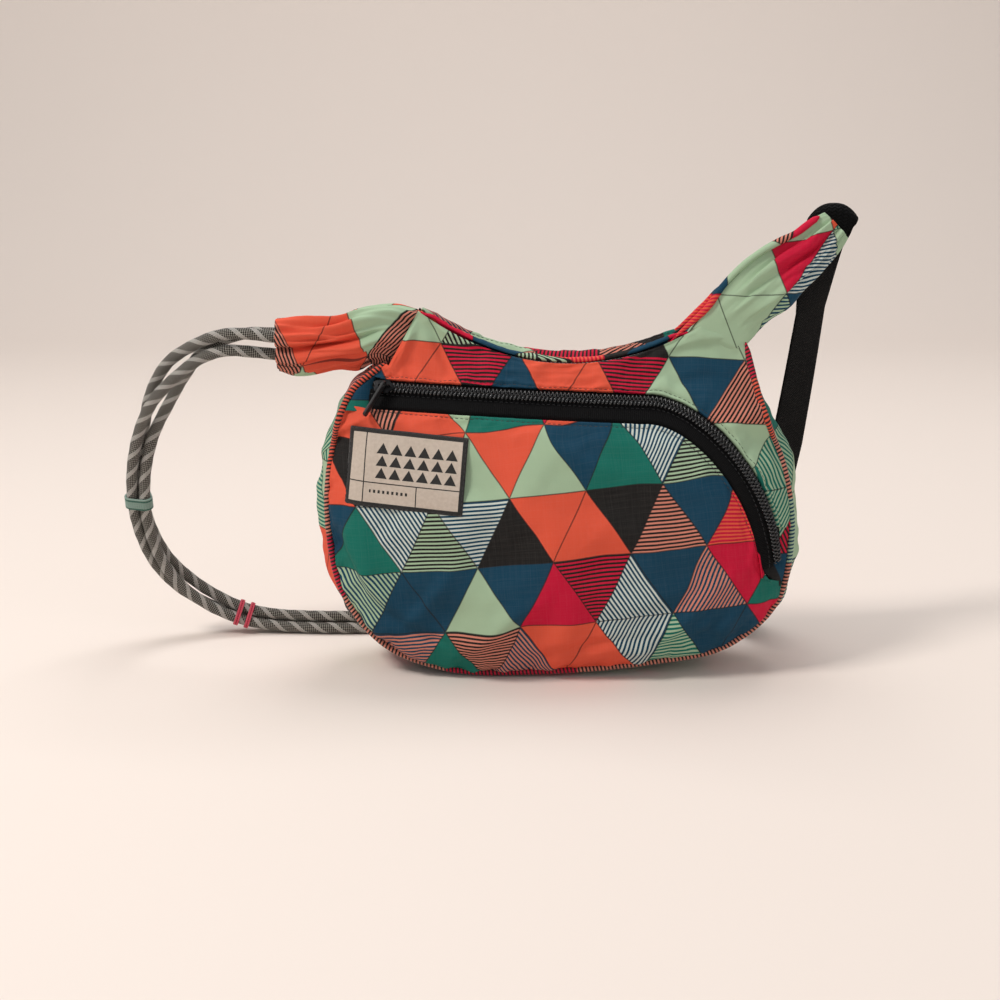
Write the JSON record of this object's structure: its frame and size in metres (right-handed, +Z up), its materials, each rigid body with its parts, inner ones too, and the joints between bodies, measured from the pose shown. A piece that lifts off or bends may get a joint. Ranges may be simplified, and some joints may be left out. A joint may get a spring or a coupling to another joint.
{
  "type": "crossbody bag",
  "caption": "Soft crossbody sling bag with zipped main compartment, curved zipped front pocket, rope and webbing strap and sliding strap adjuster.",
  "frame": {"origin": "middle of the flat stretch of the base that the bag stands on, in the mid plane between the front and back panels", "axes": "+X along the bag's width towards the webbing's sleeve, -Y out of the pocket's front, +Z up"},
  "size_m": [0.5005, 0.1435, 0.3105],
  "materials": {
    "teal_print": "printed ripstop cloth",
    "crimson_print": "printed ripstop cloth",
    "petrol_print": "printed ripstop cloth",
    "mint_print": "printed ripstop cloth",
    "coral_print": "printed ripstop cloth",
    "lining_cloth": "plain lining",
    "striped_piping": "striped cloth over cord",
    "label_cloth": "woven label",
    "zip_teeth": "nylon coil",
    "zip_tape": "woven tape",
    "coated_metal": "black coated",
    "pull_tab": "soft moulded tab",
    "braided_rope": "braided two-tone sheath",
    "green_thread": "wound thread",
    "red_thread": "wound thread",
    "webbing": "flat woven webbing",
    "moulded_plastic": "fine grained moulding"
  },
  "bodies": {
    "bag": {"front_upper_panel": "teal_print", "pocket_panel": "crimson_print", "back_panel": "petrol_print", "gusset": "mint_print", "pocket_lining": "lining_cloth", "front_piping": "striped_piping", "back_piping": "striped_piping", "front_hem": "coral_print", "back_hem": "coral_print", "left_sleeve": "coral_print", "right_sleeve": "mint_print", "label": "label_cloth", "pocket_zip_teeth_upper": "zip_teeth", "pocket_zip_teeth_lower": "zip_teeth", "pocket_zip_tape_upper": "zip_tape", "pocket_zip_tape_lower": "zip_tape", "main_zip_teeth_front": "zip_teeth", "main_zip_teeth_back": "zip_teeth", "main_zip_tape_front": "zip_tape", "main_zip_tape_back": "zip_tape", "rope_1": "braided_rope", "rope_2": "braided_rope", "rope_3": "braided_rope", "green_whipping": "green_thread", "red_whipping": "red_thread", "rope_end_loop": "webbing", "strap_ring": "coated_metal", "webbing_strap": "webbing", "webbing_tail": "webbing"},
    "pocket_slider": {"pocket_zip_slider": "coated_metal"},
    "pocket_pull": {"pocket_zip_pull": "pull_tab"},
    "main_slider": {"main_zip_slider": "coated_metal"},
    "main_pull": {"main_zip_pull": "coated_metal"},
    "adjuster": {"strap_adjuster": "moulded_plastic"}
  },
  "joints": [
    {"name": "pocket_zip_run", "type": "hinge", "parent": "bag", "child": "pocket_slider", "pos_m": [0.02194, 0.8787, 0.18783], "axis": [0.0441, 0, 0.999], "range_deg": [0, 10.4]},
    {"name": "pocket_pull_swing", "type": "hinge", "parent": "pocket_slider", "child": "pocket_pull", "pos_m": [-0.11601, -0.02421, 0.1965], "axis": [-0.9877, 0.1504, 0.0436], "range_deg": [0, 140]},
    {"name": "main_zip_run", "type": "hinge", "parent": "bag", "child": "main_slider", "pos_m": [0.00616, 0, 0.375], "axis": [0, 1, 0], "range_deg": [0, 52]},
    {"name": "main_pull_swing", "type": "hinge", "parent": "main_slider", "child": "main_pull", "pos_m": [0.07875, 0, 0.22649], "axis": [0, 1, 0], "range_deg": [0, 150]},
    {"name": "strap_adjust", "type": "slide", "parent": "bag", "child": "adjuster", "axis": [1, 0, 0], "range_m": [-0.02, 0.08], "deforming": ["webbing_tail"]}
  ]
}
